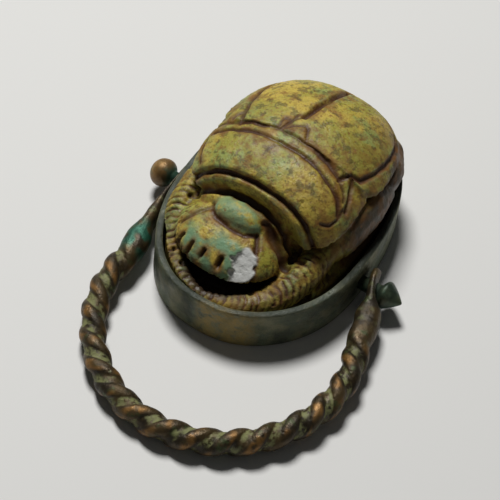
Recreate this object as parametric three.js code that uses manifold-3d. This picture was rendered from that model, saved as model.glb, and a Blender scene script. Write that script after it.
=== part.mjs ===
// A carved stone scarab held in an oval metal setting, with two knobbed pins at the middle of
// the setting's long sides and a shank of two twisted wires that swings on them.
// Millimetres. +Z is up, X runs along the pins, and the beetle's head points to -Y.
// The origin is on the beetle's flat underside, straight below the pins' axis.

import * as THREE from "three";
import Module from "manifold-3d";
import { mergeVertices } from "three/addons/utils/BufferGeometryUtils.js";

const wasm = await Module();
wasm.setup();

// The setting: an open oval collar with a ledge at its foot.
const settingHalfWidth = 8.67;
const settingFront = 10.78;
const settingBack = 13.38;
const settingPower = 2.3;
const settingEgg = 0.035;
const settingBulge = 0.5;
const bulgeTurn = -0.4;
const bulgeSpread = 0.35;
const settingHeight = 4.04;
const wallThickness = 0.6;
const ledgeWidth = 0.9;
const ledgeThickness = 0.7;
const rimRounding = 0.14;
const stoneClearance = 0.3;
const settingStations = 48;

// The pins: one with a ball head, one with a bud-shaped head.
const pinHeight = 1.93;
const pinRadius = 0.6;
const pinClearance = 0.06;
const pinReach = 0.17;
const pinInnerEnd = settingHalfWidth - wallThickness - pinReach;
const ballStandOff = 1.35;
const ballRadius = 1.23;
const ballHalfLength = 1.12;
const budStandOff = 0.48;
const budLength = 1.96;
const budRadius = 1.22;
const pinSides = 14;

// The shank: two wires twisted together, hammered flat into a pierced eye at each end.
const ropeRadius = 1.15;
const strandRadius = 0.7;
const strandOffset = ropeRadius - strandRadius;
const ropeHalfTurns = 16;
const arcCentreAcross = 2.42;
const arcCentreOut = 10.04;
const arcHalfWidth = 10.62;
const arcHalfLength = 10.87;
const leftArcStartOut = 8.5;
const rightArcEndOut = 5.2;
const leftEyeCentre = 8.92;
const leftEyeThickness = 0.46;
const leftEyeHalfHeight = 1.25;
const leftEyeOverhang = 2.1;
const rightEyeCentre = 10.02;
const rightEyeThickness = 0.8;
const rightEyeHalfHeight = 1.42;
const rightEyeOverhang = 1.7;
const eyeHoleRadius = 0.74;
const ballCentre = leftEyeCentre + leftEyeThickness / 2 + ballStandOff;
const budBase = rightEyeCentre + rightEyeThickness / 2 + budStandOff;
const budTip = budBase + budLength;
const shankStations = 88;
const shankSides = 12;

// The beetle: wing cases, thorax and head are vaults, each rising over its own oval plan.
const wings = {
  across: 0, centre: 2.75, halfWidth: 8.3, front: 10.55, back: 10.55,
  foot: 4.5, top: 11.0, planPower: 2.37, risePower: 2.33,
  skirt: [[0.88, 3.2], [0.965, 4.15]],
};
const wingPlan = { halfWidth: 8.4, centre: 8.2, front: 7.2, back: 7.0, power: 2.6 };
const thorax = {
  across: -0.1, centre: 3.17, halfWidth: 8.0, front: 7.98, back: 6.0,
  foot: 4.46, top: 10.81, planPower: 2.91, risePower: 2.37,
  skirt: [[0.92, 3.2]],
};
const collar = {
  across: -0.1, centre: 3.17, halfWidth: 7.7, front: 7.6, back: 6.0,
  foot: 4.4, top: 10.45, planPower: 2.91, risePower: 2.37,
  skirt: [[0.9, 3.2]],
};
const trunk = {
  across: -0.25, centre: 3.0, halfWidth: 6.9, front: 6.2, back: 9.4,
  foot: 4.2, top: 9.6, planPower: 2.6, risePower: 2.6,
  skirt: [[0.96, 2.4]],
};
const head = {
  across: -0.9, centre: -4.0, halfWidth: 4.95, front: 4.45, back: 3.6,
  foot: 4.2, top: 7.0, planPower: 2.25, risePower: 1.9,
  skirt: [[0.5, 1.6], [0.7, 2.5], [0.94, 3.75]],
};
const brow = {
  across: -0.95, centre: -3.7, halfWidth: 2.35, front: 1.25, back: 1.55,
  foot: 6.4, top: 8.0, planPower: 2.3, risePower: 2.2,
  skirt: [[0.9, 5.6]],
};
const hollow = {
  across: -0.6, centre: -6.9, halfWidth: 4.3, front: 2.35, back: 2.6,
  foot: 4.5, top: 5.2, planPower: 2.2, risePower: 2,
  skirt: [[0.55, 1.9], [0.85, 2.7]],
};
const wingLineCentre = 2.85;
const bandLineCentre = 1.95;
const thoraxFrontLine = -1.95;
const collarFrontLine = -2.95;
const wingMargin = { height: 8.5, slope: -0.15 };
const thoraxMargin = { height: 7.3, slope: 0.22 };
const forelegMiddle = -0.35;
const rearLegMiddle = 0.15;
const footShoulder = 4.3;
const carvingTolerance = 0.04;

function signedPower(value, power) {
  return Math.sign(value) * Math.abs(value) ** power;
}

function smooth(from, to, value) {
  const share = Math.min(1, Math.max(0, (value - from) / (to - from)));
  return share * share * (3 - 2 * share);
}

// A closed solid from rings with the same number of points, each end closed by a fan.
function ringSolid(rings) {
  const count = rings[0].length;
  const positions = [];
  const indices = [];
  for (const ring of rings) {
    for (const point of ring) {
      positions.push(point.x, point.y, point.z);
    }
  }
  for (let row = 0; row < rings.length - 1; row += 1) {
    for (let column = 0; column < count; column += 1) {
      const a = row * count + column;
      const b = row * count + (column + 1) % count;
      const c = a + count;
      const d = b + count;
      indices.push(a, b, d, a, d, c);
    }
  }
  const ends = [[rings[0], 0, false], [rings[rings.length - 1], rings.length - 1, true]];
  for (const [ring, row, isLast] of ends) {
    const middle = new THREE.Vector3();
    ring.forEach((point) => middle.addScaledVector(point, 1 / count));
    const centre = positions.length / 3;
    positions.push(middle.x, middle.y, middle.z);
    for (let column = 0; column < count; column += 1) {
      const a = row * count + column;
      const b = row * count + (column + 1) % count;
      if (isLast) {
        indices.push(centre, a, b);
      } else {
        indices.push(centre, b, a);
      }
    }
  }
  const geometry = new THREE.BufferGeometry();
  geometry.setAttribute("position", new THREE.Float32BufferAttribute(positions, 3));
  geometry.setIndex(indices);
  return geometry;
}

function toSolid(geometry) {
  const bare = geometry.clone();
  bare.deleteAttribute("normal");
  bare.deleteAttribute("uv");
  const merged = mergeVertices(bare, 1e-4);
  const mesh = new wasm.Mesh({
    numProp: 3,
    vertProperties: Float32Array.from(merged.attributes.position.array),
    triVerts: Uint32Array.from(merged.index.array),
  });
  return new wasm.Manifold(mesh);
}

function toGeometry(solid) {
  const mesh = solid.getMesh();
  const geometry = new THREE.BufferGeometry();
  const positions = Float32Array.from(mesh.vertProperties);
  geometry.setAttribute("position", new THREE.BufferAttribute(positions, 3));
  geometry.setIndex(Array.from(mesh.triVerts));
  geometry.computeVertexNormals();
  return geometry;
}

const settingCentre = (settingBack - settingFront) / 2;
const settingHalfLength = (settingBack + settingFront) / 2;

// The wall swells a little beside the bud pin.
function wallSwell(angle) {
  return settingBulge * Math.exp((Math.cos(angle - bulgeTurn) - 1) / bulgeSpread ** 2);
}

// A point of the setting's oval, moved inwards by the inset.
function settingPoint(angle, inset) {
  const place = (turn) => {
    const along = signedPower(Math.sin(turn), 2 / settingPower);
    const across = signedPower(Math.cos(turn), 2 / settingPower) * (1 + settingEgg * along);
    return new THREE.Vector2(settingHalfWidth * across, settingCentre + settingHalfLength * along);
  };
  const point = place(angle);
  const step = 0.01;
  const tangent = place(angle + step).sub(place(angle - step)).normalize();
  return new THREE.Vector2(point.x - tangent.y * inset, point.y + tangent.x * inset);
}

function pinHole(centre, radius, length, sides) {
  const drill = new THREE.CylinderGeometry(radius, radius, length, sides);
  drill.rotateZ(Math.PI / 2);
  drill.translate(centre, 0, pinHeight);
  return toSolid(drill);
}

function makeSetting() {
  const section = [
    [rimRounding, 0],
    [0, rimRounding],
    [0, settingHeight - rimRounding],
    [rimRounding, settingHeight],
    [wallThickness - rimRounding, settingHeight],
    [wallThickness, settingHeight - rimRounding],
    [wallThickness, ledgeThickness],
    [wallThickness + ledgeWidth, ledgeThickness],
    [wallThickness + ledgeWidth, 0],
  ];
  const positions = [];
  const indices = [];
  for (let station = 0; station < settingStations; station += 1) {
    const angle = (station + 0.5) / settingStations * 2 * Math.PI;
    for (const [inset, height] of section) {
      const point = settingPoint(angle, inset - wallSwell(angle));
      positions.push(point.x, point.y, height);
    }
  }
  for (let station = 0; station < settingStations; station += 1) {
    for (let side = 0; side < section.length; side += 1) {
      const nextStation = (station + 1) % settingStations;
      const nextSide = (side + 1) % section.length;
      const a = station * section.length + side;
      const b = nextStation * section.length + side;
      const c = nextStation * section.length + nextSide;
      const d = station * section.length + nextSide;
      indices.push(a, b, c, a, c, d);
    }
  }
  const geometry = new THREE.BufferGeometry();
  geometry.setAttribute("position", new THREE.Float32BufferAttribute(positions, 3));
  geometry.setIndex(indices);
  let solid = toSolid(geometry);
  const holeLength = 4;
  for (const side of [-1, 1]) {
    solid = solid.subtract(
      pinHole(side * settingHalfWidth, pinRadius + pinClearance, holeLength, pinSides));
  }
  return toGeometry(solid);
}

// A pin turned about the X axis. A profile point is [distance from the middle, radius].
function turnedPin(profile, side) {
  const points = profile.map(([along, radius]) => new THREE.Vector2(radius, along));
  const geometry = new THREE.LatheGeometry(points, pinSides);
  geometry.rotateZ(-Math.PI / 2);
  if (side < 0) {
    geometry.rotateZ(Math.PI);
  }
  geometry.translate(0, 0, pinHeight);
  return toGeometry(toSolid(geometry));
}

function makeBallPin() {
  const profile = [[pinInnerEnd, 0], [pinInnerEnd, pinRadius]];
  const rows = 8;
  const start = Math.asin(pinRadius / ballRadius);
  for (let row = 0; row <= rows; row += 1) {
    const angle = start + (Math.PI - start) * row / rows;
    const radius = row === rows ? 0 : ballRadius * Math.sin(angle);
    profile.push([ballCentre - ballHalfLength * Math.cos(angle), radius]);
  }
  return turnedPin(profile, -1);
}

// The bud is round at its base and runs out to a point: [share of length, share of radius].
function makeBudPin() {
  const length = budTip - budBase;
  const bud = [
    [0, 0.5], [0.07, 0.8], [0.2, 0.98], [0.38, 0.99], [0.58, 0.82], [0.76, 0.57], [0.91, 0.3], [1, 0],
  ];
  const profile = [[pinInnerEnd, 0], [pinInnerEnd, pinRadius], [budBase, pinRadius]];
  for (const [share, width] of bud) {
    profile.push([budBase + share * length, width * budRadius]);
  }
  return turnedPin(profile, 1);
}

// The shank is flat: "across" is X, "out" is the distance from the pins' axis. Its far side
// rests on the table, so its plane drops by the angle below.
const shankDrop = Math.asin((pinHeight - ropeRadius) / (arcCentreOut + arcHalfLength));

function shankPlace(across, out) {
  const drop = out * Math.sin(shankDrop);
  return new THREE.Vector3(across, -out * Math.cos(shankDrop), pinHeight - drop);
}

function shankLine() {
  const arcStart = -Math.acos((leftArcStartOut - arcCentreOut) / arcHalfLength);
  const arcEnd = Math.acos((rightArcEndOut - arcCentreOut) / arcHalfLength);
  const arcSteps = 16;
  const guide = [
    [-leftEyeCentre, -leftEyeOverhang],
    [-leftEyeCentre, 0],
    [-leftEyeCentre + 0.09, 2.5],
    [-leftEyeCentre + 0.27, 4.3],
    [-leftEyeCentre + 0.5, 6.2],
  ];
  for (let step = 0; step <= arcSteps; step += 1) {
    const angle = arcStart + (arcEnd - arcStart) * step / arcSteps;
    guide.push([
      arcCentreAcross + arcHalfWidth * Math.sin(angle),
      arcCentreOut + arcHalfLength * Math.cos(angle),
    ]);
  }
  guide.push(
    [rightEyeCentre + 1.55, 3.5],
    [rightEyeCentre + 0.85, 1.8],
    [rightEyeCentre, 0],
    [rightEyeCentre - 0.5, -rightEyeOverhang],
  );
  const points = guide.map(([across, out]) => new THREE.Vector3(across, out, 0));
  return new THREE.CatmullRomCurve3(points, false, "centripetal");
}

function makeShank() {
  const twistStartOut = 8.6;
  const twistEndOut = 5.4;
  const points = shankLine().getSpacedPoints(shankStations);
  const isPastMiddle = (index) => index > shankStations / 2;
  let twistStart = 0;
  let twistEnd = shankStations;
  points.forEach((point, index) => {
    if (!isPastMiddle(index) && point.y < twistStartOut) {
      twistStart = index;
    }
    if (isPastMiddle(index) && point.y > twistEndOut) {
      twistEnd = index;
    }
  });
  const rings = [];
  points.forEach((point, index) => {
    const before = points[Math.max(0, index - 1)];
    const after = points[Math.min(shankStations, index + 1)];
    const tangent = after.clone().sub(before).normalize();
    const isLeft = !isPastMiddle(index);
    const thickness = isLeft ? leftEyeThickness : rightEyeThickness;
    const plain = isLeft ? 1 - smooth(7.6, 9.6, point.y) : 1 - smooth(4.6, 6.4, point.y);
    const full = isLeft
      ? 0.4 * smooth(1.6, 4.4, point.y) + 0.6 * smooth(5.0, 7.0, point.y)
      : smooth(1.0, 2.6, point.y);
    const overhang = isLeft ? leftEyeOverhang : rightEyeOverhang;
    const eyeHalfHeight = isLeft ? leftEyeHalfHeight : rightEyeHalfHeight;
    const roundOff = Math.sqrt(Math.max(0.02, 1 - Math.max(0, -point.y / overhang) ** 2.4));
    const halfAcross = thickness / 2 + (ropeRadius * 0.96 - thickness / 2) * full;
    const halfUp = (eyeHalfHeight + (ropeRadius * 0.96 - eyeHalfHeight) * full) * roundOff;
    const turned = (index - twistStart) / (twistEnd - twistStart);
    const twist = -ropeHalfTurns * Math.PI * Math.min(1, Math.max(0, turned));
    const ring = [];
    for (let side = 0; side < shankSides; side += 1) {
      const lobe = side / shankSides * 2 * Math.PI;
      const angle = lobe + twist;
      const rope = strandOffset * Math.abs(Math.sin(lobe))
        + Math.sqrt(strandRadius ** 2 - (strandOffset * Math.cos(lobe)) ** 2);
      const power = 2.4;
      const flat = (Math.abs(Math.cos(angle) / halfAcross) ** power
        + Math.abs(Math.sin(angle) / halfUp) ** power) ** (-1 / power);
      const radius = rope + (flat - rope) * plain;
      const outward = radius * Math.cos(angle);
      const down = radius * Math.sin(angle);
      const place = shankPlace(point.x - tangent.y * outward, point.y + tangent.x * outward);
      place.y += down * Math.sin(shankDrop);
      place.z -= down * Math.cos(shankDrop);
      ring.push(place);
    }
    rings.push(ring);
  });
  let solid = toSolid(ringSolid(rings));
  const holeLength = 3;
  for (const centre of [-leftEyeCentre, rightEyeCentre]) {
    solid = solid.subtract(pinHole(centre, eyeHoleRadius, holeLength, pinSides));
  }
  return toGeometry(solid);
}

// The stone's foot follows the setting's own oval. A level is [height, inset from the setting].
function footStack(levels) {
  const count = 40;
  const rings = levels.map(([height, inset]) => {
    const ring = [];
    for (let step = 0; step < count; step += 1) {
      const point = settingPoint((step + 0.5) / count * 2 * Math.PI, inset);
      ring.push(new THREE.Vector3(point.x, point.y, height));
    }
    return ring;
  });
  return toSolid(ringSolid(rings));
}

// A vault: an oval plan that rises over its foot, longer or shorter at each end. The skirt
// below the foot lists [share of the plan, height].
function vault(shape) {
  const count = 36;
  const rows = 7;
  const rings = [];
  const addRing = (share, height) => {
    const ring = [];
    for (let step = 0; step < count; step += 1) {
      const angle = step / count * 2 * Math.PI;
      const along = signedPower(Math.sin(angle), 2 / shape.planPower);
      const across = signedPower(Math.cos(angle), 2 / shape.planPower);
      const length = along < 0 ? shape.front : shape.back;
      ring.push(new THREE.Vector3(
        shape.across + shape.halfWidth * share * across,
        shape.centre + length * share * along,
        height));
    }
    rings.push(ring);
  };
  for (const [share, height] of shape.skirt) {
    addRing(share, height);
  }
  for (let row = 0; row <= rows; row += 1) {
    const lean = row / (rows + 1) * Math.PI / 2;
    const rise = Math.sin(lean) ** (2 / shape.risePower);
    addRing(Math.cos(lean) ** (2 / shape.risePower), shape.foot + (shape.top - shape.foot) * rise);
  }
  addRing(0.06, shape.top);
  return toSolid(ringSolid(rings));
}

function vaultHeight(shape, x, y) {
  const length = y < shape.centre ? shape.front : shape.back;
  const plan = Math.abs((x - shape.across) / shape.halfWidth) ** shape.planPower
    + Math.abs((y - shape.centre) / length) ** shape.planPower;
  const rest = Math.max(0, 1 - plan ** (shape.risePower / shape.planPower));
  return shape.foot + (shape.top - shape.foot) * rest ** (1 / shape.risePower);
}

// All that lies above a plane tilted along Y and between two places on Y.
function slab(margin, fromY, toY) {
  const halfWidth = 12;
  const top = 14;
  const rings = [fromY, toY].map((y) => [
    new THREE.Vector3(halfWidth, y, margin.height + margin.slope * y),
    new THREE.Vector3(-halfWidth, y, margin.height + margin.slope * y),
    new THREE.Vector3(-halfWidth, y, top),
    new THREE.Vector3(halfWidth, y, top),
  ]);
  return toSolid(ringSolid(rings));
}

function upright(plan) {
  const count = 40;
  const rings = [2, 14].map((height) => {
    const ring = [];
    for (let step = 0; step < count; step += 1) {
      const angle = step / count * 2 * Math.PI;
      const along = signedPower(Math.sin(angle), 2 / plan.power);
      const across = signedPower(Math.cos(angle), 2 / plan.power);
      const length = along < 0 ? plan.front : plan.back;
      ring.push(new THREE.Vector3(plan.halfWidth * across, plan.centre + length * along, height));
    }
    return ring;
  });
  return toSolid(ringSolid(rings));
}

// A limb: a rounded bar through its stations, each [x, y, z, half width, half height].
function limb(stations) {
  const places = stations.map(([x, y, z]) => new THREE.Vector3(x, y, z));
  const curve = new THREE.CatmullRomCurve3(places);
  const steps = Math.round(stations.length * 1.6);
  const sides = 8;
  const rings = [];
  for (let step = 0; step <= steps; step += 1) {
    const at = step / steps;
    const index = Math.min(stations.length - 2, Math.floor(at * (stations.length - 1)));
    const share = at * (stations.length - 1) - index;
    const halfWidth = stations[index][3] * (1 - share) + stations[index + 1][3] * share;
    const halfHeight = stations[index][4] * (1 - share) + stations[index + 1][4] * share;
    const place = curve.getPoint(at);
    const tangent = curve.getTangent(at);
    const sideways = new THREE.Vector3(0, 0, 1).cross(tangent).normalize();
    const up = tangent.clone().cross(sideways).normalize();
    const swell = 0.55 + 0.45 * Math.sqrt(Math.sin(Math.PI * Math.min(1, Math.max(0, at))));
    const ring = [];
    for (let side = 0; side < sides; side += 1) {
      const angle = side / sides * 2 * Math.PI;
      ring.push(place.clone()
        .addScaledVector(sideways, Math.cos(angle) * halfWidth * swell)
        .addScaledVector(up, Math.sin(angle) * halfHeight * swell));
    }
    rings.push(ring);
  }
  return toSolid(ringSolid(rings));
}

function limbPair(stations, middle) {
  const right = limb(stations);
  return right.add(right.mirror([1, 0, 0]).translate([2 * middle, 0, 0]));
}

// A groove follows points on a surface and cuts to the given depth.
function groove(points, width, depth) {
  const curve = new THREE.CatmullRomCurve3(points);
  const steps = Math.max(4, points.length);
  const sides = 6;
  const rings = [];
  for (let step = 0; step <= steps; step += 1) {
    const at = step / steps;
    const place = curve.getPoint(at);
    const tangent = curve.getTangent(at);
    const sideways = new THREE.Vector3(0, 0, 1).cross(tangent).normalize();
    const up = tangent.clone().cross(sideways).normalize();
    const swell = Math.min(1, 0.35 + 2.6 * Math.sin(at * Math.PI));
    const ring = [];
    for (let side = 0; side < sides; side += 1) {
      const angle = side / sides * 2 * Math.PI;
      ring.push(place.clone()
        .addScaledVector(sideways, Math.cos(angle) * width / 2 * swell)
        .addScaledVector(up, Math.sin(angle) * depth * swell));
    }
    rings.push(ring);
  }
  return toSolid(ringSolid(rings));
}

function grooveOn(shape, plan, width, depth) {
  const points = plan.map(([x, y]) => new THREE.Vector3(x, y, vaultHeight(shape, x, y)));
  return groove(points, width, depth);
}

function acrossLine(halfWidth, count, lineAt) {
  const plan = [];
  for (let step = 0; step <= count; step += 1) {
    const x = -halfWidth + 2 * halfWidth * step / count;
    plan.push([x, lineAt(x)]);
  }
  return plan;
}

function mirroredPlan(plan) {
  return plan.map(([x, y]) => [-x, y]);
}

// What the setting leaves free: the opening above the ledge, inside the wall, and all above it.
function roomForStone(padInset, footInset) {
  const padHeight = ledgeThickness + 0.15;
  const above = slab({ height: footShoulder, slope: 0 }, -15, 16);
  return footStack([[0, padInset + 0.1], [0.1, padInset], [padHeight + 0.1, padInset]])
    .add(footStack([[padHeight, footInset], [footShoulder + 0.01, footInset]]))
    .add(above);
}

// Crumbs that two crossing cuts leave loose are dropped.
function mainBody(solid) {
  const bodies = solid.decompose();
  bodies.sort((one, other) => other.volume() - one.volume());
  return bodies[0];
}

function makeBeetle() {
  const padInset = wallThickness + ledgeWidth + stoneClearance;
  const footInset = wallThickness + stoneClearance;
  const foreleg = [
    [5.6, 1.6, 5.2, 1.3, 1.3], [5.8, -1.3, 4.9, 1.45, 1.4], [5.6, -3.6, 4.1, 1.5, 1.5],
    [5.1, -5.4, 3.6, 1.45, 1.2], [4.35, -7.0, 3.3, 1.3, 1.0], [3.1, -8.3, 3.1, 1.1, 0.9],
    [1.7, -9.1, 3.0, 0.85, 0.8], [0.4, -9.4, 3.0, 0.7, 0.8],
  ];
  const midleg = [
    [6.2, -1.2, 5.0, 1.1, 1.5], [6.55, 0.3, 5.3, 1.3, 1.9], [6.8, 2.2, 5.6, 1.3, 2.0],
    [6.95, 4.4, 5.7, 1.3, 2.0], [6.85, 6.6, 5.4, 1.1, 1.7],
  ];
  const hindleg = [
    [6.8, 7.0, 5.8, 0.9, 1.6], [6.35, 8.8, 5.6, 1.0, 1.7], [5.2, 10.6, 5.3, 1.0, 1.6],
    [3.4, 11.8, 5.0, 0.9, 1.4], [0.0, 12.3, 4.9, 0.9, 1.3],
  ];

  let solid = footStack([[0, footInset], [3.2, footInset], [footShoulder, footInset + 1.0]]);
  solid = solid.subtract(vault(hollow)).add(vault(trunk));
  solid = solid.add(limbPair(foreleg, forelegMiddle));
  solid = solid.add(limbPair(midleg, rearLegMiddle)).add(limbPair(hindleg, rearLegMiddle));
  solid = solid.intersect(roomForStone(padInset, footInset));

  const wingCases = vault(wings).intersect(upright(wingPlan))
    .intersect(slab(wingMargin, wingLineCentre, 14));
  const chest = vault(thorax).intersect(slab(thoraxMargin, thoraxFrontLine, wingLineCentre + 0.1));
  const neckBand = vault(collar)
    .intersect(slab({ height: thoraxMargin.height - 0.3, slope: 0.22 }, collarFrontLine, 0));
  solid = solid.add(wingCases).add(chest).add(neckBand).add(vault(head)).add(vault(brow));

  const bend = (centre, share) => (x) => centre - share * x * x;
  const cuts = [
    grooveOn(wings, acrossLine(6.4, 8, bend(wingLineCentre, 0.012)), 0.5, 0.3),
    grooveOn(thorax, acrossLine(6.4, 8, bend(bandLineCentre, 0.01)), 0.45, 0.3),
    grooveOn(wings, [[-0.8, 4.9], [-0.66, 6.3], [-0.45, 8.0], [-0.3, 9.8], [-0.2, 11.2]], 0.6, 0.35),
  ];
  const wingSide = [[5.3, 2.9], [5.9, 3.9], [6.3, 5.3], [6.45, 7.2], [6.1, 9.1], [5.2, 10.6]];
  const wingNotch = [[4.5, 2.3], [5.3, 3.1], [6.0, 1.9], [6.4, 0.7]];
  const headSeam = [[1.2, -4.3], [2.2, -5.9], [2.9, -7.2]];
  const headSeamLeft = headSeam.map(([x, y]) => [2 * head.across - x, y + 0.4]);
  for (const turned of [(plan) => plan, mirroredPlan]) {
    cuts.push(grooveOn(wings, turned(wingSide), 0.55, 0.35));
    cuts.push(grooveOn(thorax, turned(wingNotch), 0.45, 0.3));
  }
  cuts.push(grooveOn(head, headSeam, 0.5, 0.35));
  cuts.push(grooveOn(head, headSeamLeft, 0.4, 0.25));

  // Four notches between the teeth of the head's front edge, and a chip that took the rest.
  const notches = [[-4.1, -7.3], [-2.75, -7.95], [-1.4, -8.2], [0.3, -8.15]];
  for (const [x, y] of notches) {
    const from = new THREE.Vector3(x, y - 0.5, 4.6);
    const to = new THREE.Vector3(x * 0.93, y + 1.25, 6.1);
    cuts.push(groove([from, from.clone().lerp(to, 0.5), to], 0.6, 0.7));
  }
  const chip = new THREE.BoxGeometry(2.6, 2.2, 1.4);
  chip.rotateX(-0.75);
  chip.rotateZ(0.45);
  chip.translate(2.05, -7.75, 6.25);
  cuts.push(toSolid(chip));
  for (const cut of cuts) {
    solid = solid.subtract(cut);
  }
  return toGeometry(mainBody(solid.simplify(carvingTolerance)));
}

function named(name, geometry, colour, roughness, metalness) {
  const material = new THREE.MeshStandardMaterial({ color: colour, roughness, metalness });
  const mesh = new THREE.Mesh(geometry, material);
  mesh.name = name;
  return mesh;
}

const ring = new THREE.Group();
ring.name = "scarab_swivel_ring";
ring.add(named("scarab", makeBeetle(), 0x8f9460, 0.6, 0));
ring.add(named("setting", makeSetting(), 0x3d3a30, 0.5, 0.8));
ring.add(named("ball_pin", makeBallPin(), 0x6b5230, 0.5, 0.8));
ring.add(named("bud_pin", makeBudPin(), 0x2f3b2c, 0.5, 0.8));
ring.add(named("shank", makeShank(), 0x4f3b28, 0.5, 0.8));

export default ring;
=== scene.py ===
import math

import bmesh
import bpy
import numpy as np
from mathutils import Matrix, Vector, noise
from mathutils.bvhtree import BVHTree


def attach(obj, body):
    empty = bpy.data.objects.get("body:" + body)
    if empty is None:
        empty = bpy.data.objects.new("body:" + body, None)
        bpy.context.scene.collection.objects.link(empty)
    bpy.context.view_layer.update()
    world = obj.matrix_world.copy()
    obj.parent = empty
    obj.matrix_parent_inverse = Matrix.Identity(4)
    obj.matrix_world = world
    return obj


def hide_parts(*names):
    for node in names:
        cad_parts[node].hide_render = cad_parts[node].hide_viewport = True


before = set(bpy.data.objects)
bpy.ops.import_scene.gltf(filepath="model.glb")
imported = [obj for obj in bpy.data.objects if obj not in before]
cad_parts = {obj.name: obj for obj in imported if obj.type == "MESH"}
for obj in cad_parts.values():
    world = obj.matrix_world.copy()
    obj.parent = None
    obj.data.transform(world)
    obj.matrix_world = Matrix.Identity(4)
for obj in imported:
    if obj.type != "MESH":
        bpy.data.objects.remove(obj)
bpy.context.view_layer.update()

mm = 0.001    # sizes below are in millimetres, meshes are in metres
print("frame loaded")

# The photograph's view of the ring, worked out from its oval setting and its flat shank.
view = {
    "place": (51.752, -103.266, 147.913),
    "back": (0.28091, -0.54474, 0.79016),
    "roll": 0.123,
    "lens": 161.84,
}


def addCamera():
    data = bpy.data.cameras.new("photoCamera")
    data.lens = view["lens"]
    data.sensor_width = 36
    data.clip_start = 0.01
    data.clip_end = 5
    camera = bpy.data.objects.new("photoCamera", data)
    bpy.context.scene.collection.objects.link(camera)
    back = Vector(view["back"]).normalized()
    side = Vector((0, 0, 1)).cross(back).normalized()
    up = back.cross(side)
    right = side * math.cos(view["roll"]) + up * math.sin(view["roll"])
    top = up * math.cos(view["roll"]) - side * math.sin(view["roll"])
    turn = Matrix((right, top, back)).transposed().to_4x4()
    camera.matrix_world = Matrix.Translation(Vector(view["place"]) * mm) @ turn
    bpy.context.scene.camera = camera


addCamera()


# Small helpers for meshes

def signedPower(value, power):
    return math.copysign(abs(value) ** power, value)


def smoothStep(low, high, value):
    share = np.clip((value - low) / (high - low), 0, 1)
    return share * share * (3 - 2 * share)


def meshObject(name, bm, body, node, material):
    bmesh.ops.scale(bm, vec=(mm, mm, mm), verts=bm.verts)
    mesh = bpy.data.meshes.new(name)
    bm.to_mesh(mesh)
    bm.free()
    piece = bpy.data.objects.new(name, mesh)
    bpy.context.scene.collection.objects.link(piece)
    finishPiece(piece, body, node, material)
    return piece


def finishPiece(piece, body, node, material):
    for face in piece.data.polygons:
        face.use_smooth = True
    piece.data.materials.clear()
    piece.data.materials.append(material)
    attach(piece, body)
    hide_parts(node)


def pointsOf(mesh):
    flat = np.empty(len(mesh.vertices) * 3)
    mesh.vertices.foreach_get("co", flat)
    return flat.reshape(-1, 3) / mm


def normalsOf(mesh):
    flat = np.empty(len(mesh.vertices) * 3)
    mesh.vertices.foreach_get("normal", flat)
    return flat.reshape(-1, 3)


def movePoints(mesh, points):
    mesh.vertices.foreach_set("co", (points * mm).ravel())
    mesh.update()


def paint(mesh, name, values):
    layer = mesh.attributes.new(name, "FLOAT", "POINT")
    layer.data.foreach_set("value", np.clip(values, 0, 1).astype(np.float32))


def noiseAt(points, scale, seed):
    spread = np.empty(len(points))
    for index, point in enumerate(points):
        spread[index] = noise.noise(Vector(point) / scale + Vector((seed, seed * 1.7, -seed)))
    return spread


def edgesOf(mesh):
    pairs = np.empty(len(mesh.edges) * 2, dtype=np.int64)
    mesh.edges.foreach_get("vertices", pairs)
    return pairs.reshape(-1, 2)


def evened(values, pairs, rounds):
    counts = np.bincount(pairs.ravel(), minlength=len(values)).astype(float)
    result = np.array(values, dtype=float)
    for _ in range(rounds):
        total = np.zeros_like(result)
        np.add.at(total, pairs[:, 0], result[pairs[:, 1]])
        np.add.at(total, pairs[:, 1], result[pairs[:, 0]])
        shared = counts if result.ndim == 1 else counts[:, None]
        result = 0.5 * result + 0.5 * total / shared
    return result


# Small helpers for materials

def put(tree, kind, links=None, **settings):
    node = tree.nodes.new(kind)
    for name, value in settings.items():
        setattr(node, name, value)
    for name, value in (links or {}).items():
        socket = node.inputs[name]
        if isinstance(value, bpy.types.NodeSocket):
            tree.links.new(value, socket)
        else:
            socket.default_value = value
    return node


def mixed(tree, share, first, second):
    node = put(tree, "ShaderNodeMix", {0: share, 6: first, 7: second}, data_type="RGBA")
    return node.outputs[2]


# Lays colours over a ground, each through its own mask
def layered(tree, ground, layers):
    for mask, tone in layers:
        ground = mixed(tree, mask, ground, tone)
    return ground


def combined(tree, kind, first, second):
    return put(tree, "ShaderNodeMath", {0: first, 1: second}, operation=kind).outputs[0]


def times(tree, first, second):
    return combined(tree, "MULTIPLY", first, second)


def colour(red, green, blue):
    def linear(value):
        value /= 255
        return value / 12.92 if value <= 0.04045 else ((value + 0.055) / 1.055) ** 2.4
    return (linear(red), linear(green), linear(blue), 1)


# Blotches: a soft mask of noise between two limits
def makeBlotchGroup():
    group = bpy.data.node_groups.new("blotches", "ShaderNodeTree")
    for name, value in (("Scale", 300.0), ("Low", 0.45), ("High", 0.6), ("Detail", 4.0)):
        socket = group.interface.new_socket(name, in_out="INPUT", socket_type="NodeSocketFloat")
        socket.default_value = value
    group.interface.new_socket("Mask", in_out="OUTPUT", socket_type="NodeSocketFloat")
    given = group.nodes.new("NodeGroupInput").outputs
    place = put(group, "ShaderNodeTexCoord").outputs["Object"]
    cloud = put(group, "ShaderNodeTexNoise", {
        "Vector": place, "Scale": given["Scale"], "Detail": given["Detail"], "Roughness": 0.6,
    })
    ranged = put(group, "ShaderNodeMapRange", {
        "Value": cloud.outputs["Fac"], "From Min": given["Low"], "From Max": given["High"],
    }, interpolation_type="SMOOTHSTEP")
    result = group.nodes.new("NodeGroupOutput")
    group.links.new(ranged.outputs["Result"], result.inputs["Mask"])
    return group


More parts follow.
